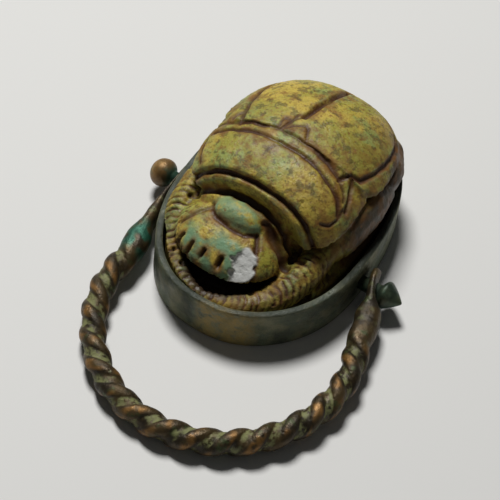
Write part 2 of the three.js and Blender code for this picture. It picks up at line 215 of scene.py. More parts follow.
# Pits: small sunk specks
def makePitGroup():
    group = bpy.data.node_groups.new("pits", "ShaderNodeTree")
    for name, value in (("Scale", 1500.0), ("Size", 0.25)):
        socket = group.interface.new_socket(name, in_out="INPUT", socket_type="NodeSocketFloat")
        socket.default_value = value
    group.interface.new_socket("Mask", in_out="OUTPUT", socket_type="NodeSocketFloat")
    given = group.nodes.new("NodeGroupInput").outputs
    place = put(group, "ShaderNodeTexCoord").outputs["Object"]
    cells = put(group, "ShaderNodeTexVoronoi", {"Vector": place, "Scale": given["Scale"]})
    ranged = put(group, "ShaderNodeMapRange", {
        "Value": cells.outputs["Distance"], "From Min": given["Size"], "From Max": 0.0,
    })
    result = group.nodes.new("NodeGroupOutput")
    group.links.new(ranged.outputs["Result"], result.inputs["Mask"])
    return group


blotchGroup = makeBlotchGroup()
pitGroup = makePitGroup()


def blotches(tree, scale, low, high, detail=4.0):
    node = put(tree, "ShaderNodeGroup", node_tree=blotchGroup)
    for name, value in (("Scale", scale), ("Low", low), ("High", high), ("Detail", detail)):
        node.inputs[name].default_value = value
    return node.outputs["Mask"]


def pits(tree, scale, size):
    node = put(tree, "ShaderNodeGroup", node_tree=pitGroup)
    node.inputs["Scale"].default_value = scale
    node.inputs["Size"].default_value = size
    return node.outputs["Mask"]


def painted(tree, name):
    return put(tree, "ShaderNodeAttribute", attribute_name=name).outputs["Fac"]


def newMaterial(name):
    material = bpy.data.materials.new(name)
    material.use_nodes = True
    tree = material.node_tree
    shader = tree.nodes["Principled BSDF"]
    return material, tree, shader


def bumped(tree, shader, height, strength, distance):
    bump = put(tree, "ShaderNodeBump", {"Height": height})
    bump.inputs["Strength"].default_value = strength
    bump.inputs["Distance"].default_value = distance
    tree.links.new(bump.outputs["Normal"], shader.inputs["Normal"])


glaze = {
    "olive": colour(156, 149, 58),
    "straw": colour(196, 172, 72),
    "paleGreen": colour(150, 160, 84),
    "turquoise": colour(118, 152, 114),
    "brown": colour(126, 82, 30),
    "darkOlive": colour(62, 54, 22),
    "darkBrown": colour(56, 42, 28),
    "redBrown": colour(74, 44, 20),
    "freshStone": colour(232, 232, 226),
    "shade": colour(62, 49, 34),
}


def makeGlaze():
    material, tree, shader = newMaterial("wornGreenGlaze")
    tint = times(tree, painted(tree, "turquoise"), blotches(tree, 700, 0.3, 0.5))
    specks = times(tree, pits(tree, 1700, 0.26), blotches(tree, 500, 0.5, 0.62))
    base = layered(tree, glaze["olive"], [
        (blotches(tree, 260, 0.42, 0.6), glaze["straw"]),
        (blotches(tree, 330, 0.5, 0.64), glaze["paleGreen"]),
        (times(tree, blotches(tree, 620, 0.5, 0.64, 8.0), 0.7), glaze["brown"]),
        (times(tree, blotches(tree, 1350, 0.51, 0.6, 9.0), 0.62), glaze["darkOlive"]),
        (times(tree, blotches(tree, 3900, 0.52, 0.6, 8.0), 0.5), glaze["brown"]),
        (times(tree, blotches(tree, 5200, 0.54, 0.66, 6.0), 0.35), glaze["straw"]),
        (painted(tree, "shade"), glaze["shade"]),
        (tint, glaze["turquoise"]),
        (specks, glaze["brown"]),
        # rust round the carved lines and on the forelegs, with painted shade browning the right side
        (painted(tree, "rustAndShade"), glaze["brown"]),
        (painted(tree, "stain"), glaze["redBrown"]),
        # painted shade under the head and by the wall, and darker deep hollows
        (painted(tree, "dark"), glaze["darkBrown"]),
        (painted(tree, "chip"), glaze["freshStone"]),
    ])
    tree.links.new(base, shader.inputs["Base Color"])
    rough = put(tree, "ShaderNodeMapRange", {
        "Value": blotches(tree, 600, 0.35, 0.7), "To Min": 0.42, "To Max": 0.68,
    }).outputs["Result"]
    tree.links.new(rough, shader.inputs["Roughness"])
    shader.inputs["Specular IOR Level"].default_value = 0.4
    grain = combined(tree, "SUBTRACT", blotches(tree, 3200, 0.2, 0.8, 6.0), pits(tree, 2200, 0.3))
    bumped(tree, shader, grain, 0.45, 0.00006)
    return material


def makeBronze(name, tones, metal, roughLow, roughHigh, bump):
    material, tree, shader = newMaterial(name)
    rubbed = times(tree, painted(tree, "worn"), blotches(tree, 1300, 0.3, 0.55))
    crusted = times(tree, painted(tree, "crust"), blotches(tree, 2100, 0.38, 0.54, 8.0))
    base = layered(tree, tones["dark"], [
        (blotches(tree, 500, 0.4, 0.62), tones["body"]),
        (blotches(tree, 900, 0.55, 0.7), tones["green"]),
        (rubbed, tones["bright"]),
        (crusted, tones["crust"]),
        (painted(tree, "patina"), tones["patina"]),
    ])
    tree.links.new(base, shader.inputs["Base Color"])
    rough = put(tree, "ShaderNodeMapRange", {
        "Value": blotches(tree, 800, 0.35, 0.65), "To Min": roughLow, "To Max": roughHigh,
    }).outputs["Result"]
    # the crust is duller than the metal, and isn't metallic
    dulled = combined(tree, "ADD", rough, times(tree, crusted, 0.3))
    tree.links.new(dulled, shader.inputs["Roughness"])
    bareMetal = combined(tree, "SUBTRACT", 1.0, crusted)
    tree.links.new(times(tree, bareMetal, metal), shader.inputs["Metallic"])
    grain = combined(tree, "SUBTRACT", blotches(tree, 2600, 0.25, 0.75, 6.0), pits(tree, 1700, 0.25))
    bumped(tree, shader, grain, bump, 0.00005)
    return material


wallTones = {
    "dark": colour(84, 92, 76), "body": colour(132, 130, 102), "green": colour(108, 122, 100),
    "bright": colour(162, 138, 80), "crust": colour(124, 130, 98), "patina": colour(48, 54, 44),
}
wireTones = {
    "dark": colour(48, 40, 26), "body": colour(82, 66, 38), "green": colour(66, 74, 42),
    "bright": colour(162, 118, 60), "crust": colour(132, 134, 84), "patina": colour(40, 92, 72),
}
ballTones = {
    "dark": colour(70, 56, 34), "body": colour(112, 84, 46), "green": colour(56, 78, 62),
    "bright": colour(176, 136, 76), "crust": colour(90, 110, 84), "patina": colour(44, 96, 80),
}
budTones = {
    "dark": colour(44, 56, 44), "body": colour(72, 84, 62), "green": colour(56, 88, 68),
    "bright": colour(88, 84, 54), "crust": colour(70, 88, 66), "patina": colour(40, 84, 70),
}
greenGlaze = makeGlaze()
wallBronze = makeBronze("darkSettingBronze", wallTones, 0.3, 0.4, 0.62, 0.8)
wireBronze = makeBronze("twistedWireBronze", wireTones, 0.45, 0.34, 0.56, 0.6)
ballBronze = makeBronze("ballPinBronze", ballTones, 0.4, 0.3, 0.5, 0.35)
budBronze = makeBronze("budPinBronze", budTones, 0.4, 0.32, 0.5, 0.35)
print("materials made")


# The setting: a thin oval collar with a ledge inside its foot
setting = {
    "halfWidth": 8.67, "front": 10.78, "back": 13.38, "power": 2.3, "egg": 0.035,
    "height": 4.04, "wall": 0.6, "ledge": 0.9, "ledgeThickness": 0.7, "round": 0.14,
    "bulge": 0.5, "bulgeTurn": -0.4, "bulgeSpread": 0.35, "steps": 320, "wave": 0.05,
    "goldPatch": {"across": 2.3, "out": 10.4, "full": 1.4, "edge": 3.1, "uneven": 0.8},
}


# The wall swells a little beside the bud pin
def wallSwell(angle):
    turned = (math.cos(angle - setting["bulgeTurn"]) - 1) / setting["bulgeSpread"] ** 2
    return setting["bulge"] * math.exp(turned)


def settingPoint(angle, inset):
    middle = (setting["back"] - setting["front"]) / 2
    halfLength = (setting["back"] + setting["front"]) / 2

    def place(turn):
        along = signedPower(math.sin(turn), 2 / setting["power"])
        across = signedPower(math.cos(turn), 2 / setting["power"])
        return Vector((setting["halfWidth"] * across * (1 + setting["egg"] * along),
                       middle + halfLength * along))

    point = place(angle)
    tangent = (place(angle + 0.01) - place(angle - 0.01)).normalized()
    return point.x - tangent.y * inset, point.y + tangent.x * inset


def makeSetting():
    wall, height, soft = setting["wall"], setting["height"], setting["round"]
    ledge = wall + setting["ledge"]
    workRadius = 10    # the section is spun on a plain circle first, then laid on the oval
    section = [
        (soft, 0), (soft * 0.3, soft * 0.3), (0, soft), (0, height * 0.33), (0, height * 0.66),
        (0, height - soft), (soft * 0.3, height - soft * 0.3), (soft, height),
        (wall - soft, height), (wall - soft * 0.3, height - soft * 0.3), (wall, height - soft),
        (wall, height * 0.6), (wall, setting["ledgeThickness"]), (ledge, setting["ledgeThickness"]),
        (ledge, 0),
    ]
    bm = bmesh.new()
    verts = [bm.verts.new((workRadius - inset, 0, z)) for inset, z in section]
    edges = [bm.edges.new((verts[i], verts[(i + 1) % len(verts)])) for i in range(len(verts))]
    bmesh.ops.spin(bm, geom=verts + edges, cent=(0, 0, 0), axis=(0, 0, 1), angle=math.tau,
                   steps=setting["steps"], use_merge=True, use_duplicate=False)
    for vert in bm.verts:
        inset = workRadius - math.hypot(vert.co.x, vert.co.y)
        angle = math.atan2(vert.co.y, vert.co.x)
        uneven = noise.noise(Vector((math.cos(angle) * 3, math.sin(angle) * 3, vert.co.z * 0.3)))
        rim = vert.co.z / height
        inset += abs(uneven) * setting["wave"] * rim - wallSwell(angle)
        x, y = settingPoint(angle, inset)
        vert.co = (x, y, vert.co.z - abs(uneven) * setting["wave"] * 1.6 * rim ** 2)
    bmesh.ops.recalc_face_normals(bm, faces=bm.faces)
    piece = meshObject("ovalSetting", bm, "bezel", "setting", wallBronze)
    points = pointsOf(piece.data)
    cloud = noiseAt(points, 2.2, 3.0)
    fine = noiseAt(points, 0.7, 9.0)
    gold = setting["goldPatch"]
    far = np.hypot(points[:, 0] - gold["across"], (points[:, 1] + gold["out"]) * 0.8)
    goldPatch = smoothStep(gold["edge"], gold["full"], far + cloud * gold["uneven"])
    rimWear = smoothStep(0.12, 0.0, height - points[:, 2])
    paint(piece.data, "worn", goldPatch)
    paint(piece.data, "crust", 0.3 + rimWear * smoothStep(0, 0.4, fine) * 0.3)
    paint(piece.data, "patina", np.maximum(rimWear * 0.95, smoothStep(0.1, 0.5, cloud) * 0.5))
    return piece


makeSetting()
print("setting made")

# The two pins, turned about the X axis
pins = {
    "height": 1.93, "radius": 0.6, "innerEnd": 7.9, "steps": 40,
    "ball": {"centre": 10.5, "radius": 1.23, "halfLength": 1.12, "rows": 18},
    "bud": {"base": 10.74, "tip": 12.86, "radius": 1.22},
}


def turnPin(name, profile, side, node, material, look):
    bm = bmesh.new()
    verts = [bm.verts.new((along, 0, radius)) for along, radius in profile]
    edges = [bm.edges.new(pair) for pair in zip(verts, verts[1:])]
    bmesh.ops.spin(bm, geom=verts + edges, cent=(0, 0, 0), axis=(1, 0, 0), angle=math.tau,
                   steps=pins["steps"], use_merge=True, use_duplicate=False)
    bmesh.ops.remove_doubles(bm, verts=bm.verts, dist=0.001)
    for vert in bm.verts:
        if abs(vert.co.x) > 9:
            spread = noise.noise(vert.co * 0.9) * 0.035
            vert.co.y *= 1 + spread
            vert.co.z *= 1 + spread
        vert.co.x *= side
        vert.co.z += pins["height"]
    bmesh.ops.recalc_face_normals(bm, faces=bm.faces)
    piece = meshObject(name, bm, "bezel", node, material)
    points = pointsOf(piece.data)
    look(piece.data, points)
    return piece


def makePins():
    ball = pins["ball"]
    start = math.asin(pins["radius"] / ball["radius"])
    profile = [(pins["innerEnd"], 0), (pins["innerEnd"], pins["radius"])]
    for row in range(ball["rows"] + 1):
        angle = start + (math.pi - start) * row / ball["rows"]
        profile.append((ball["centre"] - ball["halfLength"] * math.cos(angle),
                        ball["radius"] * max(0, math.sin(angle))))

    def ballLook(mesh, points):
        outer = smoothStep(9.9, 11.2, -points[:, 0])
        up = smoothStep(1.2, 3.0, points[:, 2])
        cloud = noiseAt(points, 0.9, 2.0)
        paint(mesh, "worn", outer * up * (0.6 + 0.5 * cloud))
        paint(mesh, "crust", smoothStep(0.2, 0.5, cloud) * 0.4)
        paint(mesh, "patina", (1 - smoothStep(9.3, 10.2, -points[:, 0])) * 0.8)

    turnPin("ballPin", profile, -1, "ball_pin", ballBronze, ballLook)

    bud = pins["bud"]
    length = bud["tip"] - bud["base"]
    profile = [(pins["innerEnd"], 0), (pins["innerEnd"], pins["radius"]),
               (bud["base"] - 0.02, pins["radius"])]
    outline = [(0, 0.52), (0.03, 0.56), (0.065, 0.66), (0.1, 0.78), (0.14, 0.88), (0.19, 0.96),
               (0.25, 1.0), (0.32, 0.98), (0.4, 0.91), (0.5, 0.8), (0.6, 0.67), (0.7, 0.53),
               (0.8, 0.38), (0.9, 0.22), (0.97, 0.1), (1, 0)]
    for share, width in outline:
        profile.append((bud["base"] + share * length, width * bud["radius"]))

    def budLook(mesh, points):
        cloud = noiseAt(points, 0.8, 4.0)
        paint(mesh, "worn", smoothStep(0.1, 0.5, cloud) * 0.5)
        paint(mesh, "crust", smoothStep(0.25, 0.55, noiseAt(points, 0.5, 6.0)) * 0.4)
        paint(mesh, "patina", smoothStep(0.1, 0.5, noiseAt(points, 1.1, 7.0)) * 0.4)

    turnPin("budPin", profile, 1, "bud_pin", budBronze, budLook)


makePins()
print("pins made")

# The shank: two wires twisted together, each end hammered into a pierced eye
shank = {
    "pinHeight": 1.93, "ropeRadius": 1.15, "strandRadius": 0.7, "strandWidth": 0.8,
    "filled": 0.88, "halfTurns": 16, "corner": 2.4, "plainSize": 0.96,
    "arcAcross": 2.42, "arcOut": 10.04, "arcHalfWidth": 10.62, "arcHalfLength": 10.87,
    "leftArcStart": 8.5, "rightArcEnd": 5.2, "twistStart": 8.6, "twistEnd": 5.4,
    # arm: sideways from the eye, outwards; plain: where the twist takes over;
    # widens: share, from, to of the growth from the flat eye to the full rope
    "leftEye": {"centre": 8.92, "thickness": 0.46, "halfHeight": 1.25, "overhang": 2.1,
                "arm": [(0.09, 2.5), (0.27, 4.3), (0.5, 6.2)], "plain": (7.6, 9.6),
                "widens": [(0.4, 1.6, 4.4), (0.6, 5.0, 7.0)]},
    "rightEye": {"centre": 10.02, "thickness": 0.8, "halfHeight": 1.42, "overhang": 1.7,
                 "arm": [(1.55, 3.5), (0.85, 1.8)], "lean": 0.5, "plain": (4.6, 6.4),
                 "widens": [(1.0, 1.0, 2.6)]},
    "stations": 460, "sides": 40,
}
shankDrop = math.asin((shank["pinHeight"] - shank["ropeRadius"])
                      / (shank["arcOut"] + shank["arcHalfLength"]))


def shankGuide():
    left, right = shank["leftEye"], shank["rightEye"]
    guide = [(-left["centre"], -left["overhang"]), (-left["centre"], 0)]
    guide += [(-left["centre"] + sideways, out) for sideways, out in left["arm"]]
    start = -math.acos((shank["leftArcStart"] - shank["arcOut"]) / shank["arcHalfLength"])
    end = math.acos((shank["rightArcEnd"] - shank["arcOut"]) / shank["arcHalfLength"])
    for step in range(17):
        angle = start + (end - start) * step / 16
        guide.append((shank["arcAcross"] + shank["arcHalfWidth"] * math.sin(angle),
                      shank["arcOut"] + shank["arcHalfLength"] * math.cos(angle)))
    guide += [(right["centre"] + sideways, out) for sideways, out in right["arm"]]
    guide += [(right["centre"], 0), (right["centre"] - right["lean"], -right["overhang"])]
    return [Vector((across, out)) for across, out in guide]


# Points at even steps along a smooth line through the guide
def evenPoints(guide, count):
    knots = [0.0]
    for before, after in zip(guide, guide[1:]):
        knots.append(knots[-1] + math.sqrt((after - before).length))
    fine = []
    for index in range(len(guide) - 1):
        p1, p2 = guide[index], guide[index + 1]
        p0 = guide[index - 1] if index else p1 * 2 - p2
        p3 = guide[index + 2] if index + 2 < len(guide) else p2 * 2 - p1
        t1, t2 = knots[index], knots[index + 1]
        t0 = knots[index - 1] if index else t1 - (t2 - t1)
        t3 = knots[index + 2] if index + 2 < len(guide) else t2 + (t2 - t1)
        for step in range(24):
            t = t1 + (t2 - t1) * step / 24
            a1 = p0 * ((t1 - t) / (t1 - t0)) + p1 * ((t - t0) / (t1 - t0))
            a2 = p1 * ((t2 - t) / (t2 - t1)) + p2 * ((t - t1) / (t2 - t1))
            a3 = p2 * ((t3 - t) / (t3 - t2)) + p3 * ((t - t2) / (t3 - t2))
            b1 = a1 * ((t2 - t) / (t2 - t0)) + a2 * ((t - t0) / (t2 - t0))
            b2 = a2 * ((t3 - t) / (t3 - t1)) + a3 * ((t - t1) / (t3 - t1))
            fine.append(b1 * ((t2 - t) / (t2 - t1)) + b2 * ((t - t1) / (t2 - t1)))
    fine.append(guide[-1])
    fine = np.array([list(point) for point in fine])
    lengths = np.concatenate([[0], np.cumsum(np.linalg.norm(np.diff(fine, axis=0), axis=1))])
    even = np.linspace(0, lengths[-1], count + 1)
    return np.stack([np.interp(even, lengths, fine[:, axis]) for axis in (0, 1)], axis=1)


# Cut straight across, a slanting wire is an oval: its long side lies round the rope
def ropeOutline(lobes):
    high, wide = shank["strandRadius"], shank["strandWidth"]
    offset = shank["ropeRadius"] - high
    tilt = np.abs(np.sin(lobes))
    square = np.cos(lobes) ** 2 / wide ** 2 + tilt ** 2 / high ** 2
    half = offset * tilt / high ** 2
    return (half + np.sqrt(half ** 2 + square * (1 - offset ** 2 / high ** 2))) / square


# The vertices that the last loop was extruded into, in the loop's order
def followed(loop, grown):
    fresh = {item for item in grown if isinstance(item, bmesh.types.BMVert)}
    for vert in loop:
        for edge in vert.link_edges:
            other = edge.other_vert(vert)
            if other in fresh:
                yield other
                break


def makeShank():
    stations, sides = shank["stations"], shank["sides"]
    line = evenPoints(shankGuide(), stations)
    out = line[:, 1]
    index = np.arange(stations + 1)
    isLeft = index <= stations / 2
    twistStart = index[isLeft & (out < shank["twistStart"])].max()
    twistEnd = index[~isLeft & (out > shank["twistEnd"])].max()
    lobes = np.arange(sides) / sides * math.tau
    rope = ropeOutline(lobes)
    corner = shank["corner"]
    thick = shank["ropeRadius"] * shank["plainSize"]
    bm = bmesh.new()
    loop = bmesh.ops.create_circle(bm, cap_ends=True, radius=1, segments=sides)["verts"]
    ringEdges = [edge for edge in bm.edges if len(edge.link_faces) == 1]
    plainShares = []
    for station in range(stations + 1):
        eye = shank["leftEye"] if isLeft[station] else shank["rightEye"]
        at = out[station]
        plain = 1 - smoothStep(*eye["plain"], at)
        full = sum(share * smoothStep(low, high, at) for share, low, high in eye["widens"])
        overhang = max(0, -at / eye["overhang"])
        roundOff = math.sqrt(max(0.02, 1 - min(1, overhang) ** corner))
        halfAcross = eye["thickness"] / 2 + (thick - eye["thickness"] / 2) * full
        halfUp = (eye["halfHeight"] + (thick - eye["halfHeight"]) * full) * roundOff
        turned = min(1, max(0, (station - twistStart) / (twistEnd - twistStart)))
        twist = -shank["halfTurns"] * math.pi * turned
        before, after = line[max(0, station - 1)], line[min(stations, station + 1)]
        tangent = (after - before) / np.linalg.norm(after - before)
        if station:
            grown = bmesh.ops.extrude_edge_only(bm, edges=ringEdges)["geom"]
            ringEdges = [item for item in grown if isinstance(item, bmesh.types.BMEdge)
                         and len(item.link_faces) == 1]
            loop = list(followed(loop, grown))
        for side, vert in enumerate(loop):
            angle = lobes[side] + twist
            deposit = shank["filled"] + 0.05 * noise.noise(Vector((station * 0.13, side * 0.3, 2)))
            flat = (abs(math.cos(angle) / halfAcross) ** corner
                    + abs(math.sin(angle) / halfUp) ** corner) ** (-1 / corner)
            wire = max(rope[side], deposit)
            radius = wire + (flat - wire) * plain
            outward = radius * math.cos(angle)
            down = radius * math.sin(angle)
            across = line[station][0] - tangent[1] * outward
            away = line[station][1] + tangent[0] * outward
            vert.co = (across,
                       -away * math.cos(shankDrop) + down * math.sin(shankDrop),
                       shank["pinHeight"] - away * math.sin(shankDrop) - down * math.cos(shankDrop))
        plainShares.append(plain)
    bm.verts.index_update()
    bmesh.ops.edgeloop_fill(bm, edges=ringEdges)
    bmesh.ops.triangulate(bm, faces=[face for face in bm.faces if len(face.verts) > 4])
    bmesh.ops.recalc_face_normals(bm, faces=bm.faces)
    piece = meshObject("twistedShank", bm, "shank", "shank", wireBronze)
    paintShank(piece.data, rope, np.array(plainShares))
    return piece


# Small dents, then masks for rubbed ridges, crusted valleys and the green patch
def paintShank(mesh, rope, plainShares):
    points = pointsOf(mesh)
    rubbed = noiseAt(points, 1.1, 1.0)
    dents = noiseAt(points, 0.8, 5.0) * 0.035 + noiseAt(points, 0.3, 8.0) * 0.018 - 0.03
    points += normalsOf(mesh) * dents[:, None]
    movePoints(mesh, points)
    order = np.arange(len(points))
    plain = plainShares[np.minimum(order // shank["sides"], shank["stations"])]
    bare = rope[order % shank["sides"]] / shank["ropeRadius"]
    valley = smoothStep(0.85, 0.78, bare) * (1 - plain)
    ridge = smoothStep(0.9, 0.98, bare) * (1 - plain)
    away = np.hypot(points[:, 1], points[:, 2] - shank["pinHeight"])
    leftArm = (points[:, 0] < 0) * smoothStep(9.4, 8.0, away) * smoothStep(5.2, 6.4, away)
    darker = 1 - 0.5 * smoothStep(8.5, 5.5, away) * (points[:, 0] > 0)
    crust = valley * smoothStep(-0.35, 0.25, noiseAt(points, 0.6, 2.0)) * 0.85
    crust += plain * smoothStep(0.15, 0.5, noiseAt(points, 0.6, 11.0)) * 0.6
    paint(mesh, "worn", ridge * smoothStep(-0.1, 0.4, rubbed) * 0.7 * darker)
    paint(mesh, "crust", crust * darker)
    paint(mesh, "patina", leftArm * smoothStep(-0.3, 0.1, noiseAt(points, 0.9, 4.0)))


makeShank()
print("shank made")

# The beetle: rounded forms joined into one stone, then carved
beetle = {
    "voxel": 0.13,
    "clearance": 0.28,
    "wings": {"across": 0, "centre": 2.75, "halfWidth": 8.3, "front": 10.55, "back": 10.55,
              "foot": 4.5, "top": 11.0, "plan": 2.37, "rise": 2.33, "keel": 1.5},
    "wingPlan": {"halfWidth": 8.4, "centre": 8.2, "front": 7.2, "power": 2.6},
    "thorax": {"across": -0.1, "centre": 3.17, "halfWidth": 8.0, "front": 7.98, "back": 6.0,
               "foot": 4.46, "top": 10.81, "plan": 2.91, "rise": 2.37, "keel": 1.2},
    "collar": {"across": -0.1, "centre": 3.17, "halfWidth": 7.7, "front": 7.6, "back": 6.0,
               "foot": 4.4, "top": 10.45, "plan": 2.91, "rise": 2.37, "keel": 1.2},
    "trunk": {"across": -0.25, "centre": 3.0, "halfWidth": 6.9, "front": 6.2, "back": 9.4,
              "foot": 4.2, "top": 9.6, "plan": 2.6, "rise": 2.6, "keel": 2.2},
    "head": {"across": -0.9, "centre": -4.0, "halfWidth": 4.95, "front": 4.45, "back": 3.6,
             "foot": 4.6, "top": 7.0, "plan": 2.25, "rise": 1.9, "keel": 0.9},
    "neck": {"across": -0.9, "centre": -3.4, "halfWidth": 2.9, "front": 2.6, "back": 3.0,
             "foot": 3.6, "top": 5.4, "plan": 2.2, "rise": 2.2, "keel": 2.2},
    "nape": {"across": -0.9, "centre": -2.4, "halfWidth": 4.5, "front": 1.7, "back": 2.0,
             "foot": 5.6, "top": 7.7, "plan": 2.3, "rise": 2.2, "keel": 1.6},
    "brow": {"across": -0.95, "centre": -3.7, "halfWidth": 2.35, "front": 1.25, "back": 1.55,
             "foot": 6.4, "top": 8.0, "plan": 2.3, "rise": 2.2, "keel": 1.4},
    "wingLine": 2.85, "hollowBack": -4.4, "headAcross": -0.9,
    "thoraxFront": (-1.75, 0.02), "collarFront": (-2.35, 0.024),    # middle, bend
    "wingMargin": (8.5, -0.15), "thoraxMargin": (7.3, 0.22),
    "forelegMiddle": -0.35, "rearLegMiddle": 0.15,
    # legs: across, along, up, half width, half height
    "foreleg": [(5.6, 1.6, 5.2, 1.3, 1.3), (5.8, -1.3, 4.9, 1.45, 1.4), (5.6, -3.6, 4.1, 1.5, 1.5),
                (5.1, -5.4, 3.6, 1.45, 1.2), (4.35, -7.0, 3.3, 1.3, 1.0), (3.1, -8.3, 3.1, 1.1, 0.9),
                (1.7, -9.1, 3.0, 0.85, 0.8), (0.5, -9.4, 2.9, 0.75, 0.8), (-0.3, -9.45, 2.8, 0.75, 0.8)],
    "midleg": [(6.2, -1.2, 5.0, 1.1, 1.5), (6.55, 0.3, 5.3, 1.3, 1.9), (6.8, 2.2, 5.6, 1.3, 2.0),
               (6.95, 4.4, 5.7, 1.3, 2.0), (6.85, 6.6, 5.4, 1.1, 1.7)],
    "hindleg": [(6.8, 7.0, 5.8, 0.9, 1.6), (6.35, 8.8, 5.6, 1.0, 1.7), (5.2, 10.6, 5.3, 1.0, 1.6),
                (3.4, 11.8, 5.0, 0.9, 1.4), (0.0, 12.3, 4.9, 0.9, 1.3)],
}


def addVault(bm, shape):
    made = bmesh.ops.create_uvsphere(bm, u_segments=96, v_segments=56, radius=1)["verts"]
    for vert in made:
        around = math.atan2(vert.co.y, vert.co.x)
        sine = max(-1, min(1, vert.co.z))
        cosine = math.sqrt(max(0, 1 - sine * sine))
        share = cosine ** (2 / shape["rise"])
        along = signedPower(math.sin(around), 2 / shape["plan"])
        across = signedPower(math.cos(around), 2 / shape["plan"])
        length = shape["front"] if along < 0 else shape["back"]
        height = shape["top"] - shape["foot"] if sine > 0 else shape["keel"]
        vert.co = (shape["across"] + shape["halfWidth"] * share * across,
                   shape["centre"] + length * share * along,
                   shape["foot"] + height * signedPower(sine, 2 / shape["rise"]))
    return made


def sliced(bm, place, normal):
    bmesh.ops.bisect_plane(bm, geom=bm.verts[:] + bm.edges[:] + bm.faces[:], dist=1e-5,
                           plane_co=place, plane_no=normal, clear_outer=True)
    openEdges = [edge for edge in bm.edges if len(edge.link_faces) == 1]
    bmesh.ops.edgeloop_fill(bm, edges=openEdges)


def addInto(bm, part):
    mesh = bpy.data.meshes.new("part")
    part.to_mesh(mesh)
    part.free()
    bm.from_mesh(mesh)
    bpy.data.meshes.remove(mesh)


def addLimb(bm, stations, middle):
    stations = np.array(stations)
    spots = np.linspace(0, len(stations) - 1, len(stations) * 9)
    for spot in spots:
        values = [np.interp(spot, range(len(stations)), stations[:, axis]) for axis in range(5)]
        x, y, z, halfWidth, halfHeight = values
        swell = 0.8 + 0.2 * math.sqrt(math.sin(math.pi * spot / (len(stations) - 1)) + 1e-9)
        size = Matrix.Diagonal((halfWidth * swell, halfWidth * swell, halfHeight * swell, 1))
        for across in (x, 2 * middle - x):
            bmesh.ops.create_icosphere(bm, subdivisions=2, radius=1,
                                       matrix=Matrix.Translation((across, y, z)) @ size)


def addFoot(bm, low, high, lowInset, highInset):
    made = bmesh.ops.create_cone(bm, cap_ends=True, segments=128, radius1=1, radius2=1, depth=2)
    for vert in made["verts"]:
        angle = math.atan2(vert.co.y, vert.co.x)
        isLow = vert.co.z < 0
        x, y = settingPoint(angle, lowInset if isLow else highInset)
        vert.co = (x, y, low if isLow else high)


def joinBeetle():
    bm = bmesh.new()
    part = bmesh.new()
    clip = beetle["wingPlan"]
    for vert in addVault(part, beetle["wings"]):
        if vert.co.y < clip["centre"]:
            share = min(1, (clip["centre"] - vert.co.y) / clip["front"])
            limit = clip["halfWidth"] * (1 - share ** clip["power"]) ** (1 / clip["power"])
            vert.co.x = max(-limit, min(limit, vert.co.x))
    height, slope = beetle["wingMargin"]
    sliced(part, (0, beetle["wingLine"], 0), (0, -1, 0))
    sliced(part, (0, 0, height), Vector((0, slope, -1)).normalized())
    addInto(bm, part)
    height, slope = beetle["thoraxMargin"]
    for name, drop in (("thorax", 0), ("collar", 0.3)):
        part = bmesh.new()
        middle, bend = beetle[name + "Front"]
        for vert in addVault(part, beetle[name]):
            vert.co.y = max(vert.co.y, middle - bend * (vert.co.x - beetle["headAcross"]) ** 2)
        sliced(part, (0, beetle["wingLine"] + 0.1, 0), (0, 1, 0))
        sliced(part, (0, 0, height - drop), Vector((0, slope, -1)).normalized())
        addInto(bm, part)
    for name in ("trunk", "head", "nape", "neck", "brow"):
        addVault(bm, beetle[name])
    addLimb(bm, beetle["foreleg"], beetle["forelegMiddle"])
    addLimb(bm, beetle["midleg"], beetle["rearLegMiddle"])
    addLimb(bm, beetle["hindleg"], beetle["rearLegMiddle"])
    pad = setting["wall"] + setting["ledge"] + beetle["clearance"]
    foot = setting["wall"] + beetle["clearance"]
    addFoot(bm, 0, 1.1, pad, pad)
    addFoot(bm, setting["ledgeThickness"] + 0.2, 2.3, foot, foot)
    for low, high, lowInset, highInset in ((2.2, 3.2, foot, foot), (3.1, 4.3, foot, foot + 1)):
        part = bmesh.new()
        addFoot(part, low, high, lowInset, highInset)
        sliced(part, (0, beetle["hollowBack"], 0), (0, -1, 0))
        addInto(bm, part)
    return bm


# Everything below the rim keeps inside the setting's wall
def keepInside(points):
    middle = (setting["back"] - setting["front"]) / 2
    halfLength = (setting["back"] + setting["front"]) / 2
    foot = setting["wall"] + beetle["clearance"]
    along = (points[:, 1] - middle) / halfLength
    across = points[:, 0] / (setting["halfWidth"] * (1 + setting["egg"] * along))
    reach = (np.abs(along) ** setting["power"] + np.abs(across) ** setting["power"])
    reach = reach ** (1 / setting["power"])
    low = points[:, 2] < setting["height"] + 0.3
    limit = np.where(points[:, 2] < setting["ledgeThickness"] + 0.15, foot + setting["ledge"], foot)
    size = np.hypot(points[:, 0], points[:, 1] - middle) / np.maximum(reach, 1e-6)
    most = 1 - limit / size
    shrink = np.where(low & (reach > most), most / np.maximum(reach, 1e-6), 1)
    points[:, 0] *= shrink
    points[:, 1] = middle + (points[:, 1] - middle) * shrink
    return points


